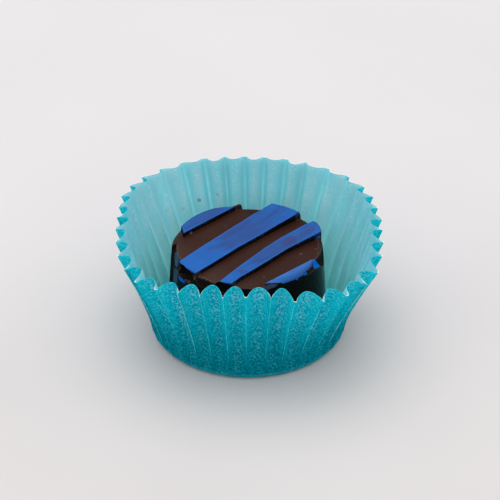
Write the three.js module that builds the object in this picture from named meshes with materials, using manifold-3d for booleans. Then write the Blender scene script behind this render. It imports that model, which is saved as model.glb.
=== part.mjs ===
// A round moulded chocolate with raised diagonal stripes, standing in a pleated paper case.
// Units are millimetres, +Z is up, and the origin is the centre of the case's flat base.
import * as THREE from 'three';
import { mergeVertices } from 'three/addons/utils/BufferGeometryUtils.js';
import Module from 'manifold-3d';

const wasm = await Module();
wasm.setup();

// ---- Paper case: driving dimensions ----
const FOLD_COUNT = 38;          // sharp outer folds round the case
const BASE_FLAT_RADIUS = 16.8;  // flat disc that the case stands on
const BASE_RADIUS = 17.4;       // where the wall starts, above the rounded base edge
const BASE_EDGE_HEIGHT = 0.52;
const PAPER = 0.25;             // wall thickness, measured level
const RIM_RADIUS = 24.3;        // mean radius of the outer folds at the rim
const SLANT_LENGTH = 21.3;      // base edge to rim, along an outer fold
const SLANT_EXTRA_BACK = 0.5;   // the wall is this much longer at the back, +Y
const WALL_FLARE = 1.2;         // above 1 the wall curves outwards towards the rim
const PLEAT_DEPTH_BASE = 0.15;  // outer fold to inner fold, at the base edge
const PLEAT_DEPTH_RIM = 2.4;    // and at the rim
const LOBE_LIFT = 0.65;         // the inner folds stand this much higher at the rim
const LOBE_BLUNTNESS = 0.6;     // below 1 the outer folds are sharp and the inner ones round
const FIRST_FOLD_ANGLE = 128;   // degrees from +X

// The case is a little squarish: [waves round the rim, cosine part, sine part] in mm of radius.
const RIM_WAVES = [[1, 0, 0.7], [2, 0, -0.7], [3, 0.15, -0.15], [4, -1.3, 0.25]];
// Its folds are unevenly spread: the same, in degrees of angle.
const SPACING_WAVES = [[1, 1.5, 0.5], [2, -0.35, 0], [3, -0.45, -0.75], [4, -0.2, -0.3]];

// Unevenness from pleat to pleat: two waves that never line up with the folds, each starting at
// its own phase, in radians.
const UNEVEN_TURNS = [1.7, 2.9];                         // from one fold to the next
const FOLD_SHIFT = { most: 0.45, phases: [1.05, 0.15] }; // degrees that a fold strays sideways
const FOLD_PUSH = { most: 0.2, phases: [3.6, 1.3] };     // mm that it strays in or out at the rim
const DEPTH_SPREAD = { most: 0.2, phases: [3.6, 2.5] };  // share by which a pleat's depth varies
const BLUNTNESS_SPREAD = { most: 0.15, phases: [5.0, 3.3] };

// Where the wall is sampled: across one pleat, outer fold to outer fold, and from base to rim.
const PLEAT_STEPS = [0, 0.03, 0.12, 0.29, 0.5, 0.71, 0.88, 0.97];
const WALL_STEPS = [0, 0.25, 0.5, 0.75, 1];

// ---- Chocolate: driving dimensions ----
const CHOCOLATE_CENTRE = [-0.17, 1.15];
const CHOCOLATE_BOTTOM = 0.5;   // just clear of the paper that it stands on
const CHOCOLATE_BASE_RADIUS = 14.1;
const CHOCOLATE_TOP_RADIUS = 13.25;
const GROOVE_LEVEL = 15.5;      // floor of the grooves
const STRIPE_LEVEL = 16.35;     // top of the raised stripes
const EDGE_BEVEL = 0.8;         // bevel round the groove floor
const EDGE_BEVEL_DROP = 0.6;
const STRIPE_BEVEL = 0.12;      // small break of the stripes' top edge
const BOTTOM_BEVEL = 0.3;
const ROUND_STEPS = 80;

// The stripes run at STRIPE_ANGLE from +X, and widen towards the back. Each is given by its two
// edges, as [distance along, distance across] wherever the edge bends.
const STRIPE_ANGLE = 46.2;
const BEYOND = 20;              // past the chocolate's edge
const STRIPES = [
  { near: [[0, -BEYOND]], far: [[0, -10.0]] },
  {
    near: [[-12, -4.3], [-7, -4.75], [2, -5.4], [7, -5.65], [13, -5.5]],
    far: [[-13, 0.6], [-9, 0.45], [-2, 0.1], [8, 0.15], [13, 0.45]],
  },
  {
    near: [[-12, 5.1], [-7, 4.35], [1, 3.4], [5, 3.25], [8, 3.4], [12, 3.9]],
    far: [[-12, 7.35], [-9, 6.9], [-3, 6.85], [3, 6.65], [8, 7.05], [12, 7.7]],
  },
  { near: [[-8, 10.95], [4, 11.8]], far: [[0, BEYOND]] },
];

// Air bubbles left open hollows in the front ends of two stripes, and the right edge is chipped:
// centre as [across, along, height], radii in the same order.
const HOLLOWS = [
  { centre: [-2.1, -13.3, 14.9], radii: [2.5, 1.8, 1.6], seed: 1 },
  { centre: [6.1, -12.2, 15.0], radii: [1.8, 1.8, 1.6], seed: 2 },
  { centre: [11.9, 6.9, 15.6], radii: [1.4, 3.4, 1.6], seed: 3 },
];
const HOLLOW_ROUGHNESS = 0.16;

function uneven({ most, phases }, fold) {
  const swings = UNEVEN_TURNS.map((turn, i) => Math.sin(turn * (fold % FOLD_COUNT) + phases[i]));
  return most * (swings[0] + swings[1]) / 2;
}

function waves(table, angle) {
  return table.reduce((sum, [order, cosine, sine]) =>
    sum + cosine * Math.cos(order * angle) + sine * Math.sin(order * angle), 0);
}

function wavesSlope(table, angle) {
  return table.reduce((sum, [order, cosine, sine]) =>
    sum + order * (sine * Math.cos(order * angle) - cosine * Math.sin(order * angle)), 0);
}

// ---- Paper case ----
function foldAngle(fold) {
  const even = THREE.MathUtils.degToRad(FIRST_FOLD_ANGLE - fold * 360 / FOLD_COUNT);
  const stray = waves(SPACING_WAVES, even) + uneven(FOLD_SHIFT, fold);
  return even + THREE.MathUtils.degToRad(stray);
}

// One column of the pleated wall: where it stands round the case, how far it is folded in, and how
// much its fold leans from pointing at the middle, so that it is square to the squarish outline.
function wallColumn(fold, across) {
  const angle = THREE.MathUtils.lerp(foldAngle(fold), foldAngle(fold + 1), across);
  const push = THREE.MathUtils.lerp(uneven(FOLD_PUSH, fold), uneven(FOLD_PUSH, fold + 1), across);
  const bluntness = LOBE_BLUNTNESS * (1 + uneven(BLUNTNESS_SPREAD, fold));
  const depth = 1 + uneven(DEPTH_SPREAD, fold);
  const inward = Math.sin(Math.PI * across) ** bluntness;
  const rimRadius = RIM_RADIUS + waves(RIM_WAVES, angle) + push;
  const slant = SLANT_LENGTH + SLANT_EXTRA_BACK * Math.sin(angle);
  const rimHeight = Math.sqrt(slant ** 2 - (rimRadius - BASE_RADIUS) ** 2);
  const lean = Math.atan2(wavesSlope(RIM_WAVES, angle), rimRadius);
  return { angle, rimRadius, rimHeight, inward, depth, lean };
}

// A point of that column, t going from 0 at the base edge to 1 at the rim. The wall's outer face
// has no thickness taken off, and its inner face has all of it.
function wallPoint(column, t, thickness) {
  const fullDepth = THREE.MathUtils.lerp(PLEAT_DEPTH_BASE, PLEAT_DEPTH_RIM, t) * column.depth;
  const depth = fullDepth * column.inward + thickness;
  const foldRadius = BASE_RADIUS + (column.rimRadius - BASE_RADIUS) * t ** WALL_FLARE;
  const height = THREE.MathUtils.lerp(BASE_EDGE_HEIGHT, column.rimHeight, t);
  const [x, y, z] = ringPoint(column.angle, foldRadius, height + LOBE_LIFT * t * column.inward);
  const facing = column.angle - column.lean * t;
  return [x - depth * Math.cos(facing), y - depth * Math.sin(facing), z];
}

function ringPoint(angle, radius, height) {
  return [radius * Math.cos(angle), radius * Math.sin(angle), height];
}

// The case is one closed skin: middle of the base, out along its underside, up the outer face,
// over the rim, down the inner face and back to the middle.
function paperCaseGeometry() {
  const columns = [];
  for (let fold = 0; fold < FOLD_COUNT; fold += 1) {
    for (const across of PLEAT_STEPS) columns.push(wallColumn(fold, across));
  }
  const rings = [
    columns.map((column) => ringPoint(column.angle, BASE_FLAT_RADIUS, 0)),
    ...WALL_STEPS.map((t) => columns.map((column) => wallPoint(column, t, 0))),
    ...[...WALL_STEPS].reverse().map((t) => columns.map((column) => wallPoint(column, t, PAPER))),
    columns.map((column) => ringPoint(column.angle, BASE_FLAT_RADIUS - PAPER, PAPER)),
  ];
  return closedSkin(rings, [0, 0, 0], [0, 0, PAPER]);
}

// Joins rings of equal length into a closed skin, with a point closing each end.
function closedSkin(rings, firstPole, lastPole) {
  const count = rings[0].length;
  const positions = [...rings.flat(), firstPole, lastPole];
  const first = rings.length * count;
  const last = first + 1;
  const faces = [];
  for (let column = 0; column < count; column += 1) {
    const next = (column + 1) % count;
    faces.push([first, column, next]);
    for (let ring = 0; ring + 1 < rings.length; ring += 1) {
      const low = ring * count;
      const high = low + count;
      faces.push([low + column, high + column, low + next]);
      faces.push([low + next, high + column, high + next]);
    }
    const top = (rings.length - 1) * count;
    faces.push([top + column, last, top + next]);
  }
  const geometry = new THREE.BufferGeometry();
  geometry.setAttribute('position', new THREE.Float32BufferAttribute(positions.flat(), 3));
  geometry.setIndex(faces.flat());
  return geometry;
}

// ---- Solids for cutting and joining ----
function toSolid(geometry) {
  const bare = geometry.clone();
  bare.deleteAttribute('normal');
  bare.deleteAttribute('uv');
  const merged = mergeVertices(bare, 1e-4);
  const vertProperties = new Float32Array(merged.attributes.position.array);
  const triVerts = new Uint32Array(merged.index.array);
  return new wasm.Manifold(new wasm.Mesh({ numProp: 3, vertProperties, triVerts }));
}

function toGeometry(solid) {
  const mesh = solid.getMesh();
  const geometry = new THREE.BufferGeometry();
  geometry.setAttribute('position', new THREE.Float32BufferAttribute(mesh.vertProperties, 3));
  geometry.setIndex([...mesh.triVerts]);
  geometry.computeVertexNormals();
  return geometry;
}

// A turned solid on the Z axis from [radius, height] pairs that start and end on the axis.
function turned(profile) {
  const points = profile.map(([radius, height]) => new THREE.Vector2(radius, height));
  return new THREE.LatheGeometry(points, ROUND_STEPS).rotateX(Math.PI / 2);
}

// ---- Chocolate, built round its own centre with its stripes along +Y ----
function sideRadius(height) {
  const share = (height - CHOCOLATE_BOTTOM) / (GROOVE_LEVEL - CHOCOLATE_BOTTOM);
  return THREE.MathUtils.lerp(CHOCOLATE_BASE_RADIUS, CHOCOLATE_TOP_RADIUS, share);
}

function blank(topHeight, bevel, bevelDrop) {
  return toSolid(turned([
    [0, CHOCOLATE_BOTTOM],
    [CHOCOLATE_BASE_RADIUS - BOTTOM_BEVEL, CHOCOLATE_BOTTOM],
    [sideRadius(CHOCOLATE_BOTTOM + BOTTOM_BEVEL), CHOCOLATE_BOTTOM + BOTTOM_BEVEL],
    [sideRadius(topHeight - bevelDrop), topHeight - bevelDrop],
    [sideRadius(topHeight) - bevel, topHeight],
    [0, topHeight],
  ]));
}

// An edge's points, carried on past the chocolate at both ends.
function edgeLine(edge) {
  const points = edge.map(([along, across]) => new THREE.Vector2(across, along));
  const start = new THREE.Vector2(points[0].x, -BEYOND);
  const end = new THREE.Vector2(points[points.length - 1].x, BEYOND);
  return [start, ...points, end];
}

function stripeBand({ near, far }) {
  const outline = new THREE.Shape([...edgeLine(far), ...edgeLine(near).reverse()]);
  const depth = STRIPE_LEVEL - CHOCOLATE_BOTTOM;
  const band = new THREE.ExtrudeGeometry(outline, { depth, bevelEnabled: false });
  return toSolid(band.translate(0, 0, GROOVE_LEVEL - 2 * EDGE_BEVEL));
}

// A rounded, slightly uneven lump, used to hollow out the chocolate.
function hollow({ centre, radii, seed }) {
  const lump = toSmoothSphere();
  const positions = lump.attributes.position;
  for (let i = 0; i < positions.count; i += 1) {
    const [x, y, z] = [positions.getX(i), positions.getY(i), positions.getZ(i)];
    const ripple = Math.sin(3 * x + seed) * Math.cos(4 * y - seed) + Math.sin(5 * z + 2 * seed) / 2;
    const swell = 1 + HOLLOW_ROUGHNESS * ripple;
    positions.setXYZ(i, ...[x, y, z].map((value, axis) => centre[axis] + value * swell * radii[axis]));
  }
  return toSolid(lump);
}

function toSmoothSphere() {
  const sphere = new THREE.IcosahedronGeometry(1, 4);
  sphere.deleteAttribute('normal');
  sphere.deleteAttribute('uv');
  return mergeVertices(sphere, 1e-4);
}

function chocolateGeometry() {
  let solid = blank(GROOVE_LEVEL, EDGE_BEVEL, EDGE_BEVEL_DROP);
  const full = blank(STRIPE_LEVEL, STRIPE_BEVEL, STRIPE_BEVEL);
  for (const stripe of STRIPES) solid = solid.add(full.intersect(stripeBand(stripe)));
  for (const lump of HOLLOWS) solid = solid.subtract(hollow(lump));
  return toGeometry(solid);
}

// ---- The object ----
function part(name, geometry, colour, roughness) {
  const material = new THREE.MeshStandardMaterial({ color: colour, roughness, metalness: 0 });
  const mesh = new THREE.Mesh(geometry, material);
  mesh.name = name;
  return mesh;
}

const group = new THREE.Group();
group.add(part('paper_case', paperCaseGeometry(), 0x12a3b4, 0.7));

const chocolate = part('chocolate', chocolateGeometry(), 0x3a2621, 0.35);
chocolate.position.set(...CHOCOLATE_CENTRE, 0);
chocolate.rotation.z = THREE.MathUtils.degToRad(STRIPE_ANGLE - 90);
group.add(chocolate);

export default group;
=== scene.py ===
"""A round moulded chocolate with raised blue stripes, standing in a pleated teal paper case."""

import math
from functools import reduce

import bmesh
import bpy
import numpy as np
from mathutils import Matrix, Vector, geometry, noise


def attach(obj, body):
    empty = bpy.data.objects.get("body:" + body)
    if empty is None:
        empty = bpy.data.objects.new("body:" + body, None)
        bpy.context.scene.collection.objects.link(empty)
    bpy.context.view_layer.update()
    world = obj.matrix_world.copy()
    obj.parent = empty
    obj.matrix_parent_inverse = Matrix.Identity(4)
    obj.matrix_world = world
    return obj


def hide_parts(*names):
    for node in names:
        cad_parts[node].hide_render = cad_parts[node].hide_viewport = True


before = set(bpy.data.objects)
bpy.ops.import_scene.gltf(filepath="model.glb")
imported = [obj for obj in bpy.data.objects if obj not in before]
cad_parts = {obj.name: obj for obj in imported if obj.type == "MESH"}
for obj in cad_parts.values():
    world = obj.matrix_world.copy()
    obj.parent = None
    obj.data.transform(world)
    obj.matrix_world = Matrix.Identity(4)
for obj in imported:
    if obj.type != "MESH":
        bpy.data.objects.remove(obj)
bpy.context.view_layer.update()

MM = 0.001
FULL_TURN = 2 * math.pi

# ---- Paper case, in mm and degrees, by the same rule as the solid ----
CASE_COUNTS = {"Pleats": 38, "Steps per pleat": 20, "Rows": 48}
# The flare and the bluntness are powers. The crumple is how far the paper strays from its folds.
CASE_SIZES = {
    "Base flat radius": 15.8, "Base radius": 17.4, "Base edge height": 1.3, "Rim radius": 24.3,
    "Slant length": 21.3, "Slant extra at back": 0.5, "Wall flare": 1.2,
    "Pleat depth at base": 0.15, "Pleat depth at rim": 2.4, "Lobe lift": 0.65,
    "Lobe bluntness": 0.6, "Paper thickness": 0.15, "Crumple": 0.05, "Seed": 4.0,
}
FIRST_FOLD_ANGLE = 128
PAPER_SHARP_ANGLE = 55
# where the flat base and its rounded edge end, as shares of the grid's rows
BASE_END, EDGE_END = 0.08, 0.14
FOLD_CROWDING = 0.12           # how far the columns crowd towards the folds, in pleats
# [waves round the case, cosine part, sine part]: mm of rim radius, then degrees of fold angle
RIM_WAVES = [(1, 0, 0.7), (2, 0, -0.7), (3, 0.15, -0.15), (4, -1.3, 0.25)]
SPACING_WAVES = [(1, 1.5, 0.5), (2, -0.35, 0), (3, -0.45, -0.75), (4, -0.2, -0.3)]
# unevenness from pleat to pleat: two waves that never line up with the folds, with their phases
UNEVEN_TURNS = (1.7, 2.9)
FOLD_SHIFT = (0.45, 1.05, 0.15)
FOLD_PUSH = (0.2, 3.6, 1.3)
DEPTH_SPREAD = (0.2, 3.6, 2.5)
SHALLOWER_SIDES = 0.24         # share by which the pleats are shallower at the left and right
BLUNTNESS_SPREAD = (0.15, 5.0, 3.3)
# half width of the flat crest of an outer fold, as a share of a pleat; by these shares it is wider
# at the back and more uneven at the front
FLAT_FOLD = 0.06
FLAT_FOLD_BACK = 0.6
FLAT_FOLD_FRONT_SPREAD = 0.5
FLAT_SPREAD = (1.0, 5.4, 3.2)

# ---- Chocolate, in mm, round its own centre with its stripes along +Y ----
CHOCOLATE_CENTRE = (-0.17, 1.15)
STRIPE_ANGLE = 46.2
CHOCOLATE_BOTTOM = 0.5
FOOT_RADIUS = 14.4
FOOT_BEVEL = 0.4
RIM_CIRCLE = 13.25
RIM_STEPS = 400
GROOVE_LEVEL = 15.5
TOP_RIPPLE = 0.02              # how far the top strays from its tables
CHOCOLATE_SHARP_ANGLE = 38
# The groove floor slopes down to the rim: [degrees round from the +X side, radius where the slope
# starts, how far it has dropped at the rim]. Two stretches are chipped steeply.
BEVEL = [
    (20, 12.45, 0.5), (50, 12.45, 0.6), (58, 12.45, 0.25), (78, 12.45, 0.05), (90, 12.45, 0.05),
    (118, 12.45, 0.6), (190, 12.4, 0.6), (219, 12.4, 0.45), (221, 12.3, 1.8), (240, 12.35, 2.0),
    (250, 12.5, 1.5), (268, 12.9, 0.6), (272, 12.8, 0.8), (278, 12.5, 1.4), (284, 12.7, 1.2),
    (289, 12.8, 0.5), (306, 12.45, 0.05), (314, 12.45, 0.05), (326, 12.45, 0.35),
]
# How far the stripes' ends, being above a level, stand out past the rim: [degrees round, mm]
LIP_FROM = 16.0
LIP = [(50, 0), (56, 0.2), (62, 0.4), (68, 0.5), (73, 0.25), (78, 0.1), (96, 0.15), (112, 0.15), (120, 0)]
RIM_BLEND = 0.8                # how far inside the rim the top starts to move out with it
BEYOND = 20                    # past the chocolate's edge
RELIEF_DEPTH = 0.06            # depth of the fine relief in the materials
# The edges of each stripe are given as [distance along, distance across]. The other tables go by
# the distance along too: its top's level, the radius outside which the top rounds off, how far it
# has dropped at the rim, and how far out its coat reaches.
STRIPES = [
    {
        "near": [(0, -BEYOND)], "far": [(-6, -10.12), (8, -9.84)],
        "level": [(-5, 16.35), (8, 16.45)],
        "crown": [(-5, 12.5), (0, 12.8), (4, 12.8), (5.2, 12.5), (6.2, 12.1), (7, 11.9), (8.4, 12.9)],
        "drop": [(-5, 0.6), (0, 0.4), (4, 0.5), (6.2, 0.8), (7, 0.8), (8.4, 0.3)],
        "coat": [(-4, 13.6), (5.5, 13.4), (6.9, 12.6), (7.2, 8)],
    },
    {
        "near": [(-12, -4.3), (-7, -4.75), (2, -5.4), (7, -5.65), (13, -5.5)],
        "far": [(-13, 0.6), (-9, 0.45), (-2, 0.1), (8, 0.15), (13, 0.45)],
        "level": [(-13, 16.35), (4, 16.4), (9, 16.6), (12, 16.85)],
        "crown": [(-13, 13.1), (13, 13.0)],
        "drop": [(-13, 0.1), (13, 0.2)],
        "coat": [(-13, 13.6), (13, 13.6)],
    },
    {
        "near": [(-12, 5.1), (-7, 4.35), (1, 3.4), (5, 3.25), (8, 3.4), (12, 3.9)],
        "far": [(-12, 7.35), (-9, 6.9), (-3, 6.85), (3, 6.65), (8, 7.05), (12, 7.7)],
        "level": [(-12, 16.35), (2, 16.4), (8, 16.55), (10.5, 16.8), (12, 16.86)],
        "crown": [(-12, 13.0), (12, 13.1)],
        "drop": [(-12, 0.1), (12, 0.12)],
        "coat": [(-12, 13.6), (12, 13.6)],
    },
    {
        "near": [(-8, 10.95), (4, 11.8)], "far": [(0, BEYOND)],
        "level": [(-7, 16.3), (4, 16.35)],
        "crown": [(-7.5, 12.9), (-5.7, 12.7), (-4.6, 12.5), (-3, 12.6), (4, 12.6)],
        "drop": [(-7.5, 0.1), (-6.5, 0.15), (-5.7, 0.35), (-4.6, 0.6), (0, 0.62), (4, 0.8)],
        "coat": [(-7.5, 13.15), (-4.6, 13.17), (-3.8, 13.6), (4, 13.6)],
    },
]
# A stripe's side, from the groove floor to its top: [distance in from its edge, share of height]
STRIPE_SIDE = [(-0.16, 0), (-0.07, 0.03), (0, 0.12), (0.05, 0.84), (0.11, 0.96), (0.22, 1)]
COAT_INSET = 0.06
# How far down the coat reaches at the rim: less far nearer the front than FRONT_END
COAT_LEVEL, FRONT_COAT_LEVEL, FRONT_END = 15.45, 16.08, -9.5
# The first stripe is cut off at its front end, square to CUT_NORMAL, and its side runs out into a
# bare slope at its back end.
CUT_POINT = (-10.18, -5.68)
CUT_NORMAL = (0.587, 0.809)
CUT_LENGTH = 4
SLOPE_FROM, SLOPE_TO, SLOPE_WIDTH = 6.7, 8.3, 8.0
# Where the rim has broken away: [degrees round, radius where the break starts, level at the rim]
BREAK = [
    (0, 13.24, 15.72), (3, 13.14, 15.2), (7, 13.08, 15.0), (13.3, 12.9, 14.97), (17, 12.55, 14.9),
    (18.5, 12.42, 14.8), (24.7, 12.5, 14.1), (31, 12.7, 13.2), (37, 12.85, 12.5), (41, 12.95, 12.9),
    (45, 13.05, 13.9), (50, 13.2, 14.9),
]
# The share of its fall that a break takes at once: [degrees round, share]
BREAK_STEP = [(0, 0.1), (9, 0.6), (18, 0.55), (22, 0.15), (50, 0.1)]
BREAK_STEP_WIDTH = 0.12        # share of the break's width in which it does so
BREAK_ROUGHNESS = 0.13
# Hollows broken out of the side under two of the stripes
HOLLOWS = [
    {"centre": (-2.3, -13.2, 14.85), "radii": (2.3, 1.5, 1.38), "seed": 1},
    {"centre": (5.75, -12.2, 14.85), "radii": (1.6, 1.35, 1.38), "seed": 2},
]
HOLLOW_POWER = 2.8             # 2 is an ellipsoid; more is squarer
HOLLOW_ROUGHNESS, HOLLOW_FACETS = 0.1, 0.02
ROUGHNESS_SCALE, FACET_SCALE = 2.2, 2.5
HOLLOW_REACH = 1.12            # 1 is the surface of an even hollow
WEAR_AND_HIGHLIGHT_FROM = 12.1               # edges outside this radius are paler: partly wear, partly a painted highlight
RIDGE_FROM, RIDGE_SPAN = 20, 35         # degrees of turn where the paler edge starts, and on to its full strength
# The rows of the side: the first ones each take a small part of the way down to the foot
SIDE_ROWS, CLOSE_ROWS, CLOSE_PART = 34, 15, 0.02
# Small marks on the chocolate: [centre, radii, degrees turned about Z]
CHIP_COAT = [((12.15, 4.4, 15.1), (1.0, 1.4, 1.3), -20)]
THICK_COAT = [
    ((13.2, 0.5, 15.45), (0.3, 0.5, 0.25), 0),
    ((-3.1, -12.95, 13.2), (1.2, 0.75, 0.4), 0),
    ((7.45, 10.4, 15.85), (0.16, 0.35, 0.2), 0),
    ((7.1, 4.0, 16.05), (0.16, 1.4, 0.26), 0),
    ((5.5, -12.3, 13.4), (0.35, 0.6, 0.25), 0),
    ((13.2, -1.5, 15.3), (0.3, 0.25, 0.14), 0),
]
# A painted reflection: a pale bluish strip down the left side, standing for the paper reflected there
PAINTED_REFLECTION_STRIP = [
    ((-6.6, -10.9, 14.8), (0.55, 2.6, 0.8), 42),
    ((-5.4, -12.35, 12.4), (0.9, 0.6, 2.0), 0),
]
THIN_COAT = [
    ((11.4, -6.7, 15.5), (0.5, 1.5, 0.5), -30),
    ((-10.05, -3.95, 15.6), (0.28, 0.28, 0.3), 0),
    ((2.4, -13.1, 14.9), (0.25, 0.3, 0.25), 0),
]
DUSTY_CRUMBS = [
    ((8.5, 4.6, 15.5), (0.25, 0.4, 0.2), 0),
    ((10.3, 7.65, 15.1), (0.2, 0.38, 0.3), 0),
    ((10.95, 6.4, 15.2), (0.25, 0.5, 0.3), 10),
    ((9.25, 7.65, 15.5), (0.22, 0.22, 0.2), 0),
    ((-7.5, 2.05, 15.5), (0.15, 0.2, 0.2), 0),
    ((8.85, -5.1, 15.5), (0.2, 0.25, 0.2), 0),
]
DULL_COAT = [
    ((5.75, 9.3, 16.7), (0.8, 2.4, 0.6), 0),
    ((5.2, 5.5, 16.5), (1.0, 2.0, 0.6), 0),
    ((6.0, -7.3, 16.4), (1.2, 0.5, 0.6), 35),
]
# Paler marks round the hollows' rims: partly wear, partly a painted highlight
RIM_WEAR_AND_HIGHLIGHT = [
    ((-3.85, -12.6, 15.9), (0.2, 0.5, 0.5), 0),
    ((-4.35, -12.35, 14.9), (0.2, 0.5, 0.6), 0),
    ((-4.6, -12.6, 13.9), (0.2, 0.4, 0.5), 0),
    ((0.3, -13.25, 15.3), (0.16, 0.3, 0.5), 0),
    ((-1.6, -12.9, 13.5), (0.6, 0.4, 0.08), 0),
]
# Smudges of chocolate on the inside of the paper: [place in mm, radius, strength]
PAPER_SMUDGES = [
    ((-9.1, 19.3, 14.0), 0.42, 0.5), ((-5.8, 19.7, 15.0), 0.32, 0.28),
    ((-12.0, 17.6, 13.2), 0.35, 0.16), ((-14.8, 15.9, 13.9), 0.4, 0.12),
]


# ---- Node helpers ----
class Graph:
    """Adds nodes to one tree, so that a sum of sockets reads like a formula."""

    def __init__(self, tree):
        self.tree = tree

    def node(self, kind, **settings):
        node = self.tree.nodes.new(kind)
        for name, value in settings.items():
            setattr(node, name, value)
        return node

    def feed(self, socket, value):
        if isinstance(value, bpy.types.NodeSocket):
            self.tree.links.new(value, socket)
        else:
            socket.default_value = value

    def fed(self, kind, feeds, **settings):
        node = self.node(kind, **settings)
        for name, value in feeds.items():
            self.feed(node.inputs[name], value)
        return node

    def call(self, kind, feeds, output=0, **settings):
        return self.fed(kind, feeds, **settings).outputs[output]

    def math(self, operation, *values, clamp=False):
        node = self.node("ShaderNodeMath", operation=operation, use_clamp=clamp)
        for socket, value in zip(node.inputs, values):
            self.feed(socket, value)
        return node.outputs[0]

    def chain(self, operation, values):
        return reduce(lambda result, value: self.math(operation, result, value), values)

    def add(self, *values):
        return self.chain("ADD", values)

    def times(self, *values):
        return self.chain("MULTIPLY", values)

    def most(self, *values):
        return self.chain("MAXIMUM", values)

    def less(self, value, taken):
        return self.math("SUBTRACT", value, taken)

    def mix(self, start, end, share):
        return self.add(self.times(start, self.less(1, share)), self.times(end, share))

    def ramp(self, value, low, high, start=0.0, end=1.0):
        feeds = {"Value": value, "From Min": low, "From Max": high, "To Min": start, "To Max": end}
        return self.call("ShaderNodeMapRange", feeds, interpolation_type="SMOOTHSTEP")

    def mix_colour(self, share, start, end):
        """Each colour is a socket, or a screen colour given as 0 to 255."""
        node = self.node("ShaderNodeMix", data_type="RGBA")
        self.feed(node.inputs[0], share)
        colour_inputs = [socket for socket in node.inputs if socket.type == "RGBA"]
        for socket, colour in zip(colour_inputs, (start, end)):
            self.feed(socket, linear(*colour) if isinstance(colour, tuple) else colour)
        return next(socket for socket in node.outputs if socket.type == "RGBA")

    def noise(self, place, scale, detail=2.0):
        feeds = {"Vector": place, "Scale": scale, "Detail": detail}
        return self.call("ShaderNodeTexNoise", feeds)

    def stretched(self, place, scale):
        """The place measured in other lengths along each axis."""
        feeds = {"Vector": place, "Scale": scale}
        return self.call("ShaderNodeMapping", feeds)

    def axis(self, place, letter):
        """How far a place or direction lies along one axis."""
        return self.call("ShaderNodeSeparateXYZ", {"Vector": place}, output=letter)

    def layered(self, base, *layers):
        """The base colour with others laid over it in turn, each as (share, screen colour)."""
        for share, colour in layers:
            base = self.mix_colour(share, base, colour)
        return base


# ---- Paper case: geometry nodes ----
def wave_sum(graph, table, angle, slope=False):
    """The sum of a table's waves at an angle, or how fast it changes there."""
    terms = []
    for order, cosine, sine in table:
        turn = graph.less(graph.times(angle, order), math.atan2(sine, cosine))
        size = (-order if slope else 1) * math.hypot(cosine, sine)
        terms.append(graph.times(size, graph.math("SINE" if slope else "COSINE", turn)))
    return graph.add(*terms)


def uneven(graph, spread, fold, pleats):
    most, *phases = spread
    whole = graph.math("FLOOR", graph.math("MODULO", graph.add(fold, 0.5), pleats))
    swings = [
        graph.math("SINE", graph.add(graph.times(whole, turn), phase))
        for turn, phase in zip(UNEVEN_TURNS, phases)
    ]
    return graph.times(most / 2, graph.add(*swings))


def fold_angle(graph, fold, pleats):
    turned = graph.math("DIVIDE", graph.times(fold, 360), pleats)
    even = graph.math("RADIANS", graph.less(FIRST_FOLD_ANGLE, turned))
    stray = graph.add(wave_sum(graph, SPACING_WAVES, even), uneven(graph, FOLD_SHIFT, fold, pleats))
    return graph.add(even, graph.math("RADIANS", stray))


def flat_crest(graph, angle, fold, pleats):
    backwards = graph.math("SINE", angle)
    spread = graph.less(1, graph.times(FLAT_FOLD_FRONT_SPREAD, backwards))
    share = graph.add(
        1, graph.times(FLAT_FOLD_BACK, backwards),
        graph.times(spread, uneven(graph, FLAT_SPREAD, fold, pleats)))
    return graph.times(FLAT_FOLD, graph.most(share, 0))


def named_attribute(graph, name, kind="FLOAT"):
    node = graph.node("GeometryNodeInputNamedAttribute", data_type=kind)
    node.inputs["Name"].default_value = name
    return node.outputs["Attribute"]


def stored(graph, mesh, name, value, kind="FLOAT"):
    feeds = {"Geometry": mesh, "Name": name, "Value": value}
    return graph.call("GeometryNodeStoreNamedAttribute", feeds, data_type=kind, domain="POINT")


def moved_along_normal(graph, mesh, distance):
    normal = graph.node("GeometryNodeInputNormal").outputs[0]
    offset = graph.call("ShaderNodeVectorMath", {0: normal, "Scale": distance}, operation="SCALE")
    return graph.call("GeometryNodeSetPosition", {"Geometry": mesh, "Offset": offset})


def case_sockets(tree):
    tree.interface.new_socket("Geometry", in_out="INPUT", socket_type="NodeSocketGeometry")
    for kind, names in (
        ("Int", CASE_COUNTS), ("Float", CASE_SIZES),
        ("Material", ("Outside", "Inside", "Cut edge")),
    ):
        for name in names:
            tree.interface.new_socket(name, in_out="INPUT", socket_type="NodeSocket" + kind)
    tree.interface.new_socket("Geometry", in_out="OUTPUT", socket_type="NodeSocketGeometry")


def thickened(graph, mesh, given):
    """The outer skin with its thickness added inwards, and a material for each side of it."""
    thick = graph.fed("GeometryNodeExtrudeMesh", {
        "Mesh": mesh, "Offset": named_attribute(graph, "to_inner_skin", "FLOAT_VECTOR"),
        "Offset Scale": graph.times(given["Paper thickness"], MM), "Individual": False,
    }, mode="FACES")
    outside = graph.call("GeometryNodeFlipFaces", {"Mesh": mesh})
    join = graph.node("GeometryNodeJoinGeometry")
    graph.feed(join.inputs[0], outside)
    graph.feed(join.inputs[0], thick.outputs["Mesh"])
    mesh = graph.call(
        "GeometryNodeMergeByDistance", {"Geometry": join.outputs[0], "Distance": 1e-7})
    mesh = graph.call("GeometryNodeSetShadeSmooth", {"Geometry": mesh, "Shade Smooth": True})
    mesh = graph.call("GeometryNodeRealizeInstances", {"Geometry": mesh})
    for material, chosen in (
        ("Outside", True), ("Inside", thick.outputs["Top"]), ("Cut edge", thick.outputs["Side"]),
    ):
        mesh = graph.call(
            "GeometryNodeSetMaterial",
            {"Geometry": mesh, "Selection": chosen, "Material": given[material]})
    return mesh


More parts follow.
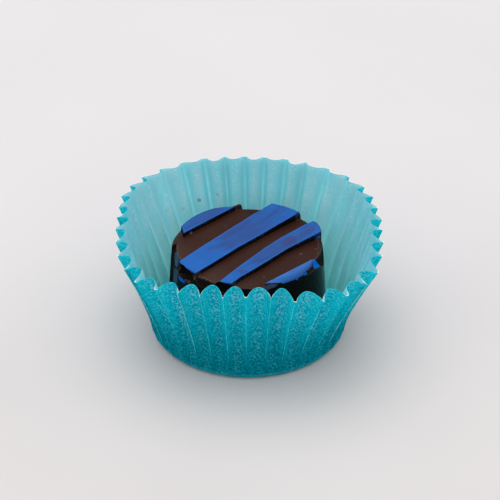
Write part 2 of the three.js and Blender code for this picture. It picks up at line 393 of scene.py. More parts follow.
def case_tree():
    """Pleated case: a grid whose X runs round the pleats and whose Y runs from the middle of the
    base out and up to the rim, thickened inwards."""
    tree = bpy.data.node_groups.new("pleated_case", "GeometryNodeTree")
    graph = Graph(tree)
    case_sockets(tree)
    given = graph.node("NodeGroupInput").outputs
    pleats = given["Pleats"]

    columns = graph.add(graph.times(pleats, given["Steps per pleat"]), 1)
    grid_feeds = {"Size X": 1.0, "Size Y": 1.0, "Vertices X": columns, "Vertices Y": given["Rows"]}
    mesh = graph.call("GeometryNodeMeshGrid", grid_feeds)
    place = graph.node("GeometryNodeInputPosition").outputs[0]
    around = graph.times(graph.add(graph.axis(place, "X"), 0.5), pleats)
    along = graph.add(graph.axis(place, "Y"), 0.5)

    # along the profile: the flat base, its rounded edge, then the wall
    disc = graph.math("DIVIDE", along, BASE_END, clamp=True)
    edge = graph.math("DIVIDE", graph.less(along, BASE_END), EDGE_END - BASE_END, clamp=True)
    up = graph.math("DIVIDE", graph.less(along, EDGE_END), 1 - EDGE_END, clamp=True)

    # across a pleat, with the columns crowded towards its sharp outer folds; the small addition
    # keeps a column that lies on a fold from being counted to the pleat before it
    fold = graph.math("FLOOR", graph.add(around, 0.001))
    step = graph.most(graph.less(around, fold), 0)
    crowding = graph.times(FOLD_CROWDING, graph.math("SINE", graph.times(step, FULL_TURN)))
    across = graph.most(graph.less(step, crowding), 0)

    next_fold = graph.add(fold, 1)
    here, there = fold_angle(graph, fold, pleats), fold_angle(graph, next_fold, pleats)
    angle = graph.mix(here, there, across)
    push = graph.mix(
        uneven(graph, FOLD_PUSH, fold, pleats), uneven(graph, FOLD_PUSH, next_fold, pleats), across)
    bluntness = graph.times(
        given["Lobe bluntness"], graph.add(1, uneven(graph, BLUNTNESS_SPREAD, fold, pleats)))
    flat_here = flat_crest(graph, here, fold, pleats)
    flat_next = flat_crest(graph, there, next_fold, pleats)
    open_part = graph.less(1, graph.add(flat_here, flat_next))
    into_pleat = graph.math("DIVIDE", graph.less(across, flat_here), open_part, clamp=True)
    half_turn = graph.most(graph.math("SINE", graph.times(into_pleat, math.pi)), 0)
    inward = graph.math("POWER", half_turn, bluntness)

    rim_radius = graph.add(given["Rim radius"], wave_sum(graph, RIM_WAVES, angle), push)
    slant = graph.add(
        given["Slant length"], graph.times(given["Slant extra at back"], graph.math("SINE", angle)))
    spread = graph.less(rim_radius, given["Base radius"])
    rim_height = graph.math("SQRT", graph.less(graph.times(slant, slant), graph.times(spread, spread)))

    edge_turn = graph.times(edge, math.pi / 2)
    edge_width = graph.less(given["Base radius"], given["Base flat radius"])
    base_reach = graph.add(
        graph.times(disc, given["Base flat radius"]),
        graph.times(edge_width, graph.math("SINE", edge_turn)))
    reach = graph.add(base_reach, graph.times(spread, graph.math("POWER", up, given["Wall flare"])))
    edge_rise = graph.times(
        given["Base edge height"], graph.less(1, graph.math("COSINE", edge_turn)))
    rise = graph.mix(edge_rise, rim_height, up)
    sideways = graph.math("COSINE", angle)
    depth = graph.times(
        graph.mix(given["Pleat depth at base"], given["Pleat depth at rim"], up), edge, inward,
        graph.add(1, uneven(graph, DEPTH_SPREAD, fold, pleats)),
        graph.less(1, graph.times(SHALLOWER_SIDES, sideways, sideways)))
    lean = graph.math("ARCTAN2", wave_sum(graph, RIM_WAVES, angle, slope=True), rim_radius)
    facing = graph.less(angle, graph.times(lean, up))

    x, y = (
        graph.less(
            graph.times(reach, graph.math(part, angle)), graph.times(depth, graph.math(part, facing)))
        for part in ("COSINE", "SINE"))
    z = graph.add(rise, graph.times(given["Lobe lift"], up, inward))
    millimetres = graph.call("ShaderNodeCombineXYZ", {"X": x, "Y": y, "Z": z})
    metres = graph.call("ShaderNodeVectorMath", {0: millimetres, "Scale": MM}, operation="SCALE")

    # the inner skin lies straight above the base and straight in from the wall
    straight_in = graph.math("SINE", edge_turn)
    to_inner_skin = graph.call("ShaderNodeCombineXYZ", {
        "X": graph.times(-1, straight_in, graph.math("COSINE", facing)),
        "Y": graph.times(-1, straight_in, graph.math("SINE", facing)),
        "Z": graph.math("COSINE", edge_turn),
    })
    mesh = stored(graph, mesh, "crease", graph.math("MINIMUM", across, graph.less(1, across)))
    mesh = stored(graph, mesh, "up", up)
    mesh = stored(graph, mesh, "to_inner_skin", to_inner_skin, "FLOAT_VECTOR")
    mesh = graph.call("GeometryNodeSetPosition", {"Geometry": mesh, "Position": metres})
    mesh = graph.call("GeometryNodeMergeByDistance", {"Geometry": mesh, "Distance": 1e-6})

    crumple = graph.call(
        "ShaderNodeTexNoise", {"W": given["Seed"], "Scale": 300.0, "Detail": 3.0},
        noise_dimensions="4D")
    on_wall = named_attribute(graph, "up")
    stray = graph.times(graph.less(crumple, 0.5), 2 * MM, given["Crumple"], on_wall)
    mesh = moved_along_normal(graph, mesh, stray)
    graph.feed(graph.node("NodeGroupOutput").inputs[0], thickened(graph, mesh, given))
    return tree


def placed(name, data):
    """A new object in the scene with this mesh, light or camera."""
    made = bpy.data.objects.new(name, data)
    bpy.context.scene.collection.objects.link(made)
    return made


def shape_piece(name, shape):
    mesh = bpy.data.meshes.new(name)
    shape.to_mesh(mesh)
    shape.free()
    return placed(name, mesh)


def plain_mesh(piece, name):
    """The piece's mesh with its modifiers worked out; the piece itself is removed."""
    bpy.context.view_layer.update()
    evaluated = piece.evaluated_get(bpy.context.evaluated_depsgraph_get())
    mesh = bpy.data.meshes.new_from_object(evaluated)
    mesh.name = name
    bpy.data.objects.remove(piece)
    return mesh


def grow(name, tree, values):
    """Runs a geometry tree on an empty mesh and returns the result as a plain mesh object."""
    seedling = placed(name + "_seedling", bpy.data.meshes.new(name + "_seedling"))
    modifier = seedling.modifiers.new(name, "NODES")
    modifier.node_group = tree
    for item in tree.interface.items_tree:
        if item.item_type == "SOCKET" and item.in_out == "INPUT" and item.name in values:
            modifier[item.identifier] = values[item.name]
    mesh = plain_mesh(seedling, name)
    mesh.set_sharp_from_angle(angle=math.radians(PAPER_SHARP_ANGLE))
    return placed(name, mesh)


# ---- Chocolate: a height map inside its rim circle, and a turned side under it ----
def table(rows, places, column=1, period=None):
    """The value of a table at each place, with straight lines between its rows."""
    return np.interp(places, [row[0] for row in rows], [row[column] for row in rows], period=period)


def degrees_round(across, along):
    return np.degrees(np.arctan2(along, across))


def stripe_depth(index, across, along):
    """How far a point lies inside the stripe's edges."""
    stripe = STRIPES[index]
    past_far = table(stripe["far"], along) - across
    if index == 0:
        width = 1 + SLOPE_WIDTH * np.clip((along - SLOPE_FROM) / (SLOPE_TO - SLOPE_FROM), 0, 1)
        past_far = np.where(past_far < 0, past_far / width, past_far)
        from_cut = (across - CUT_POINT[0]) * CUT_NORMAL[0] + (along - CUT_POINT[1]) * CUT_NORMAL[1]
        return np.minimum(past_far, from_cut)
    return np.minimum(across - table(stripe["near"], along), past_far)


def groove_floor(across, along):
    turn = degrees_round(across, along)
    start = table(BEVEL, turn, period=360)
    share = np.clip((np.hypot(across, along) - start) / (RIM_CIRCLE - start), 0, 1)
    return GROOVE_LEVEL - share * table(BEVEL, turn, 2, period=360)


def stripe_top(stripe, across, along):
    radius = np.hypot(across, along)
    crown = table(stripe["crown"], along)
    share = np.clip((radius - crown) / (RIM_CIRCLE - crown), 0, 1)
    return table(stripe["level"], along) - table(stripe["drop"], along) * share ** 1.5


def noise_at(across, along, up, scale, seed):
    """Smooth noise from -1 to 1 at each point, with bumps about 1 / scale mm wide."""
    return np.array([
        noise.noise(Vector((x * scale + seed, y * scale, z * scale)))
        for x, y, z in zip(across, along, up)
    ])


def moulded_heights(across, along):
    heights = groove_floor(across, along)
    for index, stripe in enumerate(STRIPES):
        rise = table(STRIPE_SIDE, stripe_depth(index, across, along))
        heights = heights + rise * (stripe_top(stripe, across, along) - groove_floor(across, along))
    return heights


def break_share(across, along):
    """0 where the break starts and 1 at the rim; below 0 the top is whole."""
    turn = degrees_round(across, along)
    start = table(BREAK, turn)
    share = (np.hypot(across, along) - start) / (RIM_CIRCLE - start)
    return np.where((turn > BREAK[0][0]) & (turn < BREAK[-1][0]), share, -1)


def top_heights(across, along):
    heights = moulded_heights(across, along)
    heights = heights + TOP_RIPPLE * noise_at(across, along, heights * 0, 0.9, 3)
    share = break_share(across, along)
    turn = degrees_round(across, along)
    step = table(BREAK_STEP, turn)
    fall = np.where(share > 0, np.minimum(share / BREAK_STEP_WIDTH, 1) * step + (1 - step) * share, 0)
    rough = noise_at(across, along, heights * 0, 2.4, 7) * np.clip(share * (1 - share) * 4, 0, 1)
    broken = heights + (table(BREAK, turn, 2) - heights) * np.clip(fall, 0, 1) + BREAK_ROUGHNESS * rough
    return np.where(share > 0, broken, heights)


def rim_heights(across, along):
    """The height of the rim at the same turn as each point."""
    outwards = RIM_CIRCLE / np.maximum(np.hypot(across, along), 0.1)
    return top_heights(across * outwards, along * outwards)


def side_radius(height):
    share = (height - CHOCOLATE_BOTTOM) / (GROOVE_LEVEL - CHOCOLATE_BOTTOM)
    return FOOT_RADIUS + (RIM_CIRCLE - FOOT_RADIUS) * share


def ring(radius):
    turns = np.arange(RIM_STEPS) * FULL_TURN / RIM_STEPS
    return np.column_stack((radius * np.cos(turns), radius * np.sin(turns)))


def top_points():
    """Where the height map is sampled: the rim circle first, then rings, lines along the stripes'
    sides and along the break, and an even grid between them."""
    rim = ring(RIM_CIRCLE)
    parts = [ring(radius) for radius in (13.18, 13.08, 12.95, 12.8, 12.6, 12.45, 12.35, 12.1)]
    line_step = 0.22
    along = np.arange(-RIM_CIRCLE, RIM_CIRCLE, line_step)
    offsets = [offset for offset, _ in STRIPE_SIDE] + [-0.35, 0.42]
    for stripe in STRIPES:
        for name, inwards in (("near", 1), ("far", -1)):
            if abs(stripe[name][0][1]) < BEYOND:
                for offset in offsets:
                    across = table(stripe[name], along) + inwards * offset
                    parts.append(np.column_stack((across, along)))
    cut_along = np.array([-CUT_NORMAL[1], CUT_NORMAL[0]])
    for offset in offsets:
        start = np.array(CUT_POINT) + offset * np.array(CUT_NORMAL)
        parts.append(start + np.outer(np.arange(0, CUT_LENGTH, line_step), cut_along))
    turns = np.arange(BREAK[0][0], BREAK[-1][0], 0.7)
    for share in (-0.1, 0.0, 0.06, 0.12, 0.25, 0.4, 0.55, 0.7, 0.85):
        start = table(BREAK, turns)
        radius = start + share * (RIM_CIRCLE - start)
        angle = np.radians(turns)
        parts.append(np.column_stack((radius * np.cos(angle), radius * np.sin(angle))))
    grid_reach, grid_step = 12.4, 0.4
    grid_lines = np.arange(-grid_reach, grid_reach, grid_step)
    parts.append(np.array([(x, y) for x in grid_lines for y in grid_lines]))
    return rim, np.concatenate(parts)


def inside_and_apart(rim, others):
    """The rim circle and the other points inside it, with at most one in each small cell."""
    cell, rim_gap = 0.045, 0.03
    kept = list(rim)
    taken = {(round(x / cell), round(y / cell)) for x, y in rim}
    for x, y in others:
        key = (round(x / cell), round(y / cell))
        if math.hypot(x, y) < RIM_CIRCLE - rim_gap and key not in taken:
            taken.add(key)
            kept.append((x, y))
    return kept


def moulded_chocolate():
    flat = inside_and_apart(*top_points())
    vectors, _, faces, *_ = geometry.delaunay_2d_cdt([Vector(p) for p in flat], [], [], 0, 1e-6)
    places = np.array([tuple(v) for v in vectors])
    heights = top_heights(places[:, 0], places[:, 1])
    # the rim follows the sloping side, so what lies near it moves out a little where it is lower
    near_rim = np.clip((np.hypot(*places.T) - RIM_CIRCLE + RIM_BLEND) / RIM_BLEND, 0, 1)
    lip = table(LIP, degrees_round(*places.T)) * (heights > LIP_FROM)
    stretch = 1 + near_rim * ((side_radius(heights) + lip) / RIM_CIRCLE - 1)
    mesh = bmesh.new()
    verts = [mesh.verts.new((x * s, y * s, z)) for (x, y), s, z in zip(places, stretch, heights)]
    for face in faces:
        mesh.faces.new([verts[i] for i in face])
    add_side(mesh)
    bmesh.ops.recalc_face_normals(mesh, faces=mesh.faces)
    return mesh


def lowered_loop(mesh, loop, place):
    """Extrudes a loop of edges and puts each new point where place says, from the one above it."""
    above = {vert for edge in loop for vert in edge.verts}
    made = bmesh.ops.extrude_edge_only(mesh, edges=loop)["geom"]
    fresh = {item for item in made if isinstance(item, bmesh.types.BMVert)}
    for vert in fresh:
        partner = next(v for e in vert.link_edges for v in e.verts if v in above)
        vert.co = place(partner.co)
    return [e for e in made if isinstance(e, bmesh.types.BMEdge) and all(v in fresh for v in e.verts)]


def add_side(mesh):
    loop = [edge for edge in mesh.edges if edge.is_boundary]
    foot_top = CHOCOLATE_BOTTOM + FOOT_BEVEL

    def at_radius(place, radius, height):
        scale = radius / math.hypot(place.x, place.y)
        return (place.x * scale, place.y * scale, height)

    for row in range(SIDE_ROWS):
        # after the close rows at the top, the others share what is left evenly
        part = CLOSE_PART if row < CLOSE_ROWS else 1 / (SIDE_ROWS - row)
        loop = lowered_loop(mesh, loop, lambda place: at_radius(
            place, side_radius(place.z + (foot_top - place.z) * part),
            place.z + (foot_top - place.z) * part))
    for inset, rise in ((FOOT_BEVEL * 0.3, FOOT_BEVEL * 0.35), (FOOT_BEVEL, 0), (3, 0)):
        loop = lowered_loop(
            mesh, loop, lambda place: at_radius(place, FOOT_RADIUS - inset, CHOCOLATE_BOTTOM + rise))
    bmesh.ops.holes_fill(mesh, edges=loop)


def hollow_cutter(hollow):
    lump = bmesh.new()
    bmesh.ops.create_icosphere(lump, subdivisions=5, radius=1)
    centre, radii = Vector(hollow["centre"]), hollow["radii"]
    rough_start, facet_start = (Vector((hollow["seed"] * step, 0, 0)) for step in (9, 5))
    for vert in lump.verts:
        size = sum(abs(c) ** HOLLOW_POWER for c in vert.co) ** (-1 / HOLLOW_POWER)
        shift = noise.noise(vert.co * ROUGHNESS_SCALE + rough_start) * HOLLOW_ROUGHNESS
        facets = noise.cell(vert.co * FACET_SCALE + facet_start) * HOLLOW_FACETS
        place = vert.co * size * (1 + shift + facets)
        vert.co = centre + Vector(p * r for p, r in zip(place, radii))
    return shape_piece("hollow_cutter", lump)


def in_hollow(across, along, up):
    found = np.zeros(len(across), bool)
    for hollow in HOLLOWS:
        total = 0
        for values, middle, radius in zip((across, along, up), hollow["centre"], hollow["radii"]):
            total = total + np.abs((values - middle) / radius) ** HOLLOW_POWER
        found |= total < HOLLOW_REACH
    return found & (np.hypot(across, along) < side_radius(up) - 0.02)


def coat_depth(across, along, up):
    """How far inside the edge of the blue coat each point lies, in mm; below 0 it is bare."""
    radius = np.hypot(across, along)
    depths = np.full(len(across), -1.0)
    for index, stripe in enumerate(STRIPES):
        sideways = stripe_depth(index, across, along) - COAT_INSET
        reach = table(stripe["coat"], along) - radius
        depths = np.maximum(depths, np.minimum(sideways, reach))
    depths = np.minimum(depths, up - np.where(along < FRONT_END, FRONT_COAT_LEVEL, COAT_LEVEL))
    depths = np.where(break_share(across, along) > 0.03, -1, depths)
    return np.clip(np.where(in_hollow(across, along, up), -1, depths), -1, 1)


def sharp_ridges(mesh):
    """1 at the points on sharp outward edges, falling to 0 where the surface is even."""
    ridges = np.zeros(len(mesh.vertices))
    shape = bmesh.new()
    shape.from_mesh(mesh)
    for edge in shape.edges:
        if len(edge.link_faces) == 2:
            turn = math.degrees(edge.calc_face_angle_signed())
            for vert in edge.verts:
                ridges[vert.index] = max(ridges[vert.index], min((turn - RIDGE_FROM) / RIDGE_SPAN, 1))
    shape.free()
    return ridges


def build_chocolate():
    body = shape_piece("moulded_chocolate", moulded_chocolate())
    cutters = [hollow_cutter(hollow) for hollow in HOLLOWS]
    for cutter in cutters:
        cut = body.modifiers.new("hollow", "BOOLEAN")
        cut.object = cutter
        cut.operation = "DIFFERENCE"
        cut.solver = "EXACT"
    mesh = plain_mesh(body, "striped_chocolate")
    for cutter in cutters:
        bpy.data.objects.remove(cutter)
    places = np.empty(len(mesh.vertices) * 3)
    mesh.vertices.foreach_get("co", places)
    across, along, up = places.reshape(-1, 3).T
    radius = np.hypot(across, along)
    side_slack, rim_slack = 0.03, 0.06
    on_side = np.abs(radius - side_radius(up)) < side_slack
    on_rim = on_side & (np.abs(up - rim_heights(across, along)) < rim_slack)
    chipped = on_rim & (break_share(across, along) > 0)
    broken = (break_share(across, along) > 0.15) & ~on_side
    # paler sharp edges: partly wear, partly a painted highlight
    wear_and_highlight = np.maximum(sharp_ridges(mesh) * (radius > WEAR_AND_HIGHLIGHT_FROM), 0.9 * chipped)
    for name, values in (
        ("coat", coat_depth(across, along, up)), ("side", (on_side & ~on_rim).astype(float)),
        ("edge", wear_and_highlight),
        ("hollow", in_hollow(across, along, up).astype(float)), ("broken", broken.astype(float)),
    ):
        mesh.attributes.new(name, "FLOAT", "POINT").data.foreach_set("value", values)
    mesh.transform(local_to_object())
    mesh.shade_smooth()
    mesh.set_sharp_from_angle(angle=math.radians(CHOCOLATE_SHARP_ANGLE))
    return placed("striped_chocolate", mesh)


def local_to_object():
    """From mm round the chocolate's centre, stripes along +Y, to the object's metres."""
    turn = Matrix.Rotation(math.radians(STRIPE_ANGLE - 90), 4, "Z")
    move = Matrix.Translation((CHOCOLATE_CENTRE[0], CHOCOLATE_CENTRE[1], 0))
    return Matrix.Scale(MM, 4) @ move @ turn


# ---- Shader node groups ----
def shader_group(name, inputs, outputs):
    """A new group from its inputs with their values and the names of its outputs."""
    tree = bpy.data.node_groups.new(name, "ShaderNodeTree")
    for label, value in inputs.items():
        kind = "NodeSocketVector" if isinstance(value, tuple) else "NodeSocketFloat"
        tree.interface.new_socket(label, in_out="INPUT", socket_type=kind).default_value = value
    for label in outputs:
        tree.interface.new_socket(label, in_out="OUTPUT", socket_type="NodeSocketFloat")
    graph = Graph(tree)
    return graph, graph.node("NodeGroupInput").outputs, graph.node("NodeGroupOutput").inputs


def crepe_group():
    """Fine arched wrinkles pressed into the paper, strongest down the middle of each lobe, and a
    broken pale line along each outer fold."""
    graph, given, result = shader_group(
        "pressed_crepe",
        {"Place": (0, 0, 0), "Up": 0.0, "Crease": 0.5, "Wrinkle size": 0.55,
         "Wall length": CASE_SIZES["Slant length"]},
        ("Wrinkles", "Mottle", "Fold line"))
    place, up = given["Place"], given["Up"]
    off_middle = graph.less(0.5, given["Crease"])
    arch = graph.times(off_middle, off_middle, graph.add(3, graph.times(7, up)))
    run = graph.add(graph.times(up, given["Wall length"]), arch)
    warp = graph.times(graph.less(graph.noise(place, 900.0, 3.0), 0.5), 3.0)
    phase = graph.math("DIVIDE", graph.times(graph.add(run, warp), FULL_TURN), given["Wrinkle size"])
    bands = graph.ramp(graph.math("SINE", phase), -0.3, 0.9)
    crumbs = graph.noise(place, 2600.0)
    flecks = graph.ramp(crumbs, 0.45, 0.62)
    patches = graph.ramp(graph.noise(place, 420.0), 0.36, 0.6, 0.35, 1.0)
    middle = graph.ramp(off_middle, 0.1, 0.36, 1.0, 0.18)
    pressed = graph.add(graph.times(bands, flecks, 0.75), graph.times(flecks, 0.25))
    graph.feed(result["Wrinkles"], graph.times(pressed, patches, middle))
    graph.feed(result["Mottle"], graph.ramp(crumbs, 0.3, 0.7))
    wear = graph.ramp(graph.noise(place, 1300.0, 3.0), 0.4, 0.62, 0.15, 1.0)
    line = graph.ramp(given["Crease"], 0.004, 0.018, 1.0, 0.0)
    graph.feed(result["Fold line"], graph.times(line, wear, graph.ramp(up, 0.04, 0.35)))
    return graph.tree


def spot_group():
    """One small ragged patch: 1 inside an ellipsoid, fading to 0 at its uneven edge."""
    graph, given, result = shader_group(
        "ragged_spot",
        {"Place": (0, 0, 0), "Centre": (0, 0, 0), "Radii": (1, 1, 1), "Turn": (0, 0, 0),
         "Raggedness": 0.4, "Noise scale": 2500.0},
        ("Mask",))
    inside = graph.call(
        "ShaderNodeMapping",
        {"Vector": given["Place"], "Location": given["Centre"], "Rotation": given["Turn"],
         "Scale": given["Radii"]},
        vector_type="TEXTURE")
    distance = graph.call("ShaderNodeVectorMath", {0: inside}, output="Value", operation="LENGTH")
    wobble = graph.times(
        graph.less(graph.noise(given["Place"], given["Noise scale"]), 0.5), 2.0,
        given["Raggedness"])
    graph.feed(result["Mask"], graph.ramp(graph.add(distance, wobble), 0.8, 1.1, 1.0, 0.0))
    return graph.tree


def use_group(graph, tree, feeds):
    return graph.fed("ShaderNodeGroup", feeds, node_tree=tree).outputs


# ---- Materials ----
def new_material(name):
    material = bpy.data.materials.new(name)
    material.use_nodes = True
    tree = material.node_tree
    tree.nodes.clear()
    graph = Graph(tree)
    surface = graph.node("ShaderNodeBsdfPrincipled")
    output = graph.node("ShaderNodeOutputMaterial")
    tree.links.new(surface.outputs[0], output.inputs["Surface"])
    return material, graph, surface.inputs


def object_place(graph):
    return graph.node("ShaderNodeTexCoord").outputs["Object"]


def attribute(graph, name):
    return graph.node("ShaderNodeAttribute", attribute_name=name).outputs["Fac"]


def distance_off_centre(graph, place):
    """How far to the left or right of the middle a place lies."""
    return graph.math("ABSOLUTE", graph.axis(place, "X"))


def bump(graph, height, strength):
    """A normal from a height of 0 to 1, where 1 stands for RELIEF_DEPTH."""
    feeds = {"Strength": strength, "Distance": RELIEF_DEPTH * MM, "Height": height}
    return graph.call("ShaderNodeBump", feeds)


def linear(red, green, blue):
    """The shader colour for a screen colour given as 0 to 255."""
    def channel(value):
        value /= 255
        return value / 12.92 if value <= 0.04045 else ((value + 0.055) / 1.055) ** 2.4
    return (channel(red), channel(green), channel(blue), 1.0)


def set_gloss(surface, roughness, specular):
    surface["Roughness"].default_value = roughness
    surface["Specular IOR Level"].default_value = specular


def paper_material(name, crepe, relief):
    """Dull thin paper with pressed wrinkles, and all that its colour goes by. Light soaks into it
    and shows faintly through."""
    material, graph, surface = new_material(name)
    place, up, crease = object_place(graph), attribute(graph, "up"), attribute(graph, "crease")
    paper = use_group(graph, crepe, {"Place": place, "Up": up, "Crease": crease})
    set_gloss(surface, 0.8, 0.0)
    surface["Subsurface Weight"].default_value = 0.6
    surface["Subsurface Radius"].default_value = (1.0, 1.0, 1.0)
    surface["Subsurface Scale"].default_value = 0.6 * MM
    graph.feed(surface["Normal"], bump(graph, paper["Wrinkles"], relief))
    return material, graph, surface["Base Color"], place, up, crease, paper


def paper_outside_material(crepe):
    material, graph, colour, place, up, crease, paper = paper_material("paper_outside", crepe, 0.3)
    # Painted shade: the outside's colours, and its flecks, run darker towards the foot, where the
    # chocolate keeps light from showing through
    height = graph.ramp(up, 0.0, 0.9)
    base = graph.mix_colour(height, (0, 131, 149), (0, 185, 204))
    dark = graph.mix_colour(height, (0, 80, 94), (0, 143, 166))
    base = graph.mix_colour(graph.less(0.8, graph.times(paper["Mottle"], 0.8)), base, dark)
    pale = graph.times(paper["Wrinkles"], graph.ramp(up, 0.0, 1.0, 0.23, 0.54))
    flecks = graph.mix_colour(height, (92, 190, 202), (174, 210, 220))
    base = graph.mix_colour(pale, base, flecks)
    # painted shade: darker next to the folds
    base = graph.mix_colour(graph.ramp(crease, 0.0, 0.1, 0.3, 0.0), base, dark)
    at_sides = graph.ramp(distance_off_centre(graph, place), 10 * MM, 19 * MM, 0.75, 0.25)
    fold_line = graph.times(paper["Fold line"], at_sides)
    # painted light: the foot is lighter, standing for light glowing through the paper's lower edge
    at_foot = graph.ramp(up, 0.0, 0.012, 0.2, 0.0)
    graph.feed(
        colour, graph.layered(base, (fold_line, (92, 226, 240)), (at_foot, (70, 186, 204))))
    return material


def paper_inside_material(crepe, spot):
    material, graph, colour, place, up, crease, paper = paper_material("paper_inside", crepe, 0.25)
    base = graph.mix_colour(graph.ramp(crease, 0.1, 0.32), (103, 213, 228), (146, 208, 220))
    bands = graph.noise(graph.stretched(place, (1.0, 1.0, 0.1)), 420.0)
    at_sides = graph.times(
        graph.ramp(distance_off_centre(graph, place), 14 * MM, 22 * MM), graph.ramp(up, 0.45, 0.75))
    blotches = graph.ramp(graph.noise(place, 200.0, 3.0), 0.35, 0.65)
    base = graph.layered(
        base,
        (graph.ramp(bands, 0.4, 0.6, 0.45, 0.0), (108, 214, 230)),
        # painted light: lighter along the folds, against the shade that gathers in them
        (graph.ramp(crease, 0.02, 0.13, 0.75, 0.0), (156, 234, 242)),
        # painted light: lighter low down, where less light reaches
        (graph.ramp(up, 0.1, 0.7, 0.85, 0.0), (138, 252, 255)),
        # painted shade: darker near the rim
        (graph.ramp(up, 0.7, 1.0, 0.0, 0.4), (112, 182, 194)),
        # painted shade: darker up the left and right walls
        (graph.times(at_sides, 0.55), (92, 178, 194)),
        (graph.times(blotches, 0.25), (120, 206, 222)),
        (graph.times(paper["Wrinkles"], 0.42), (204, 232, 238)),
    )
    for centre, radius, strength in PAPER_SMUDGES:
        mask = use_group(graph, spot, {
            "Place": place, "Centre": [c * MM for c in centre], "Radii": [radius * MM] * 3,
            "Raggedness": 0.3,
        })["Mask"]
        base = graph.layered(base, (graph.times(mask, strength), (70, 58, 48)))
    graph.feed(colour, base)
    return material


def cut_edge_material():
    """The white core of the paper shows most in the notches."""
    material, graph, surface = new_material("paper_cut_edge")
    fibres = graph.ramp(graph.noise(object_place(graph), 1500.0), 0.4, 0.65)
    lobe = graph.mix_colour(fibres, (20, 158, 176), (72, 186, 200))
    notch = graph.mix_colour(fibres, (226, 240, 238), (246, 250, 248))
    in_notch = graph.ramp(attribute(graph, "crease"), 0.06, 0.16, 1.0, 0.0)
    graph.feed(surface["Base Color"], graph.mix_colour(in_notch, lobe, notch))
    set_gloss(surface, 0.85, 0.05)
    return material


def marks(graph, spot, place, patches, raggedness):
    """1 inside any of the patches, which are in mm round the chocolate's centre."""
    masks = [
        use_group(graph, spot, {
            "Place": place, "Centre": centre, "Radii": radii, "Raggedness": raggedness,
            "Turn": (0, 0, math.radians(turn)), "Noise scale": 2.5,
        })["Mask"]
        for centre, radii, turn in patches
    ]
    return graph.most(*masks)


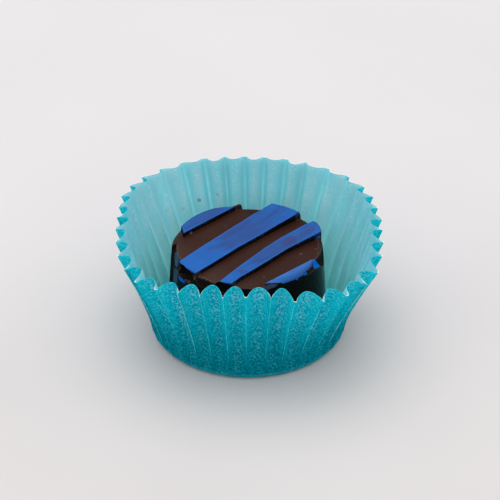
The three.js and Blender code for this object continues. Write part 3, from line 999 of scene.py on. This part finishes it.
def chocolate_material(spot):
    material, graph, surface = new_material("striped_chocolate")
    # the place in mm round the chocolate's centre, with the stripes along Y
    place = graph.call(
        "ShaderNodeMapping",
        {"Vector": object_place(graph), "Location": (*(c * MM for c in CHOCOLATE_CENTRE), 0),
         "Rotation": (0, 0, math.radians(STRIPE_ANGLE - 90)), "Scale": (MM, MM, MM)},
        vector_type="TEXTURE")
    cloud = graph.noise(place, 0.22, 3.0)
    grain = graph.noise(place, 1.7, 3.0)
    specks = graph.noise(place, 5.0)
    streaks = graph.noise(graph.stretched(place, (1.0, 0.16, 1.0)), 0.9, 4.0)
    across, along = graph.axis(place, "X"), graph.axis(place, "Y")
    facing = graph.node("ShaderNodeNewGeometry").outputs["True Normal"]
    # how steep a face is; below, steep faces are painted nearly black as painted shade
    steep = graph.ramp(graph.axis(facing, "Z"), 0.5, 0.78, 1.0, 0.0)
    coat, edge, side, hollow, broken = (
        attribute(graph, name) for name in ("coat", "edge", "side", "hollow", "broken"))

    dusty, reflection_strip, bare, dull, thin, thick, chip = (
        marks(graph, spot, place, patches, raggedness) for patches, raggedness in (
            (DUSTY_CRUMBS, 0.35), (PAINTED_REFLECTION_STRIP, 0.35), (RIM_WEAR_AND_HIGHLIGHT, 0.35), (DULL_COAT, 1.0),
            (THIN_COAT, 1.2), (THICK_COAT, 0.35), (CHIP_COAT, 0.2),
        ))
    # the brown is paler towards the front
    paler_to_front = graph.ramp(along, -12.0, -5.0, 0.55, 0.0)
    reflection_strip = graph.times(reflection_strip, steep, graph.less(1, hollow))
    wear_and_highlight = graph.times(
        edge, graph.ramp(specks, 0.35, 0.6, 0.4, 0.85), graph.less(1, graph.times(steep, 0.6)))
    brown = graph.layered(
        graph.mix_colour(cloud, (47, 23, 16), (57, 31, 23)),
        (paler_to_front, (72, 51, 45)),
        (graph.ramp(grain, 0.55, 0.75, 0.0, 0.35), (70, 42, 34)),
        (graph.times(dusty, 0.35), (90, 86, 104)),
        # painted shade: steep faces nearly black
        (graph.times(steep, 0.92), (7, 4, 4)),
        # painted reflection of the paper down the left side
        (graph.times(reflection_strip, 0.85), (57, 85, 112)),
        # painted shade: the insides of the hollows are darker
        (graph.times(hollow, 0.8), (18, 13, 14)),
        (graph.times(broken, 0.7), (30, 20, 16)),
        # paler sharp edges: partly wear, partly a painted highlight
        (wear_and_highlight, (112, 86, 82)),
        # rims of the hollows: partly wear, partly a painted highlight
        (graph.times(bare, 0.65), (122, 86, 62)),
    )

    away = graph.math("ABSOLUTE", graph.less(along, 2.5))
    belt = graph.ramp(graph.add(away, graph.times(graph.less(cloud, 0.5), 10)), 1.5, 9.0, 1.0, 0.0)
    # painted light: the last stripe is painted lighter, making up for the light it gets less of
    last_stripe = graph.ramp(across, 9.5, 11.0, 0.0, 0.35)
    # painted shade: steep coated faces go dark blue, most on the stripes before the last
    wall = graph.times(steep, graph.ramp(across, 10.0, 11.2, 0.7, 0.25))
    blue = graph.layered(
        graph.mix_colour(belt, (33, 93, 170), (42, 78, 143)),
        (graph.ramp(streaks, 0.5, 0.68, 0.0, 0.5), (46, 60, 112)),
        (graph.ramp(streaks, 0.3, 0.45, 0.3, 0.0), (14, 98, 186)),
        (graph.ramp(specks, 0.5, 0.75, 0.0, 0.4), (48, 66, 126)),
        (graph.times(dull, 0.5), (60, 58, 98)),
        # painted highlight: the coat is lighter and bluer near its edges
        (graph.ramp(coat, 0.05, 0.4, 0.45, 0.0), (34, 114, 208)),
        (last_stripe, (72, 130, 208)),
        (wall, (4, 30, 74)),
    )

    wobble = graph.times(graph.less(graph.noise(place, 1.5, 3.0), 0.5), 0.12)
    coated = graph.ramp(graph.add(coat, wobble), -0.015, 0.02)
    colour = graph.layered(brown, (graph.times(thin, 0.8), (84, 80, 110)))
    colour = graph.mix_colour(coated, colour, blue)
    thick = graph.most(
        graph.times(thick, graph.less(1, hollow)), graph.times(chip, graph.less(1, side)))
    graph.feed(surface["Base Color"], graph.layered(colour, (thick, (0, 102, 198))))
    moulded = graph.mix(graph.mix(0.38, 0.44, coated), 0.8, graph.most(hollow, broken))
    scuffed = graph.ramp(across, -7.4, -5.8, 1.0, 0.0)
    on_wall = graph.most(side, graph.times(steep, scuffed))
    graph.feed(surface["Roughness"], graph.mix(moulded, graph.mix(0.12, 0.9, scuffed), on_wall))
    surface["Specular IOR Level"].default_value = 0.045
    relief = graph.add(graph.times(grain, 0.5), graph.times(streaks, coated, 0.5))
    graph.feed(surface["Normal"], bump(graph, relief, 0.2))
    return material


# ---- The pieces ----
crepe = crepe_group()
spot = spot_group()

paper_case = grow("pleated_paper_case", case_tree(), {
    **CASE_COUNTS, **CASE_SIZES,
    "Outside": paper_outside_material(crepe), "Inside": paper_inside_material(crepe, spot),
    "Cut edge": cut_edge_material(),
})
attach(paper_case, "root")
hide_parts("paper_case")

chocolate = build_chocolate()
chocolate.data.materials.append(chocolate_material(spot))
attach(chocolate, "root")
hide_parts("chocolate")


# ---- Floor, light and camera ----
def floor_piece():
    mesh = bpy.data.meshes.new("floor")
    half = 3.0
    corners = [(-half, -half, 0), (half, -half, 0), (half, half, 0), (-half, half, 0)]
    mesh.from_pydata(corners, [], [(0, 1, 2, 3)])
    floor = placed("floor", mesh)
    material, graph, surface = new_material("floor")
    place = object_place(graph)
    # painted light: the floor is a little lighter towards the back
    far = graph.ramp(graph.axis(place, "Y"), -0.05, 0.06)
    tint = graph.mix_colour(far, (212, 207, 207), (216, 213, 215))
    mottle = graph.ramp(graph.noise(place, 15.0), 0.3, 0.7, 0.0, 0.5)
    graph.feed(surface["Base Color"], graph.mix_colour(mottle, tint, (221, 218, 218)))
    set_gloss(surface, 0.7, 0.2)
    mesh.materials.append(material)


def area_light(name, place, target, size, power):
    light = bpy.data.lights.new(name, "AREA")
    light.shape = "DISK"
    light.size = size
    light.energy = power
    lamp = placed(name, light)
    lamp.location = place
    lamp.rotation_euler = (Vector(target) - Vector(place)).to_track_quat("-Z", "Y").to_euler()


def studio():
    world = bpy.data.worlds.new("studio")
    world.use_nodes = True
    background = world.node_tree.nodes["Background"]
    background.inputs["Color"].default_value = (1.0, 1.0, 1.0, 1.0)
    background.inputs["Strength"].default_value = 0.99
    bpy.context.scene.world = world
    area_light("key", (-0.06, 0.16, 0.55), (0, 0, 0.01), 0.5, 0.8)


def shot():
    camera_data = bpy.data.cameras.new("camera")
    camera_data.lens = 115.709
    camera_data.sensor_width = 36
    camera_data.clip_start = 0.01
    camera = placed("camera", camera_data)
    camera.location = (0.3018 * MM, -236.311 * MM, 165.993 * MM)
    camera.rotation_euler = (math.radians(57.493), 0, 0)
    bpy.context.scene.camera = camera
    bpy.context.scene.view_settings.view_transform = "Standard"


floor_piece()
studio()
shot()
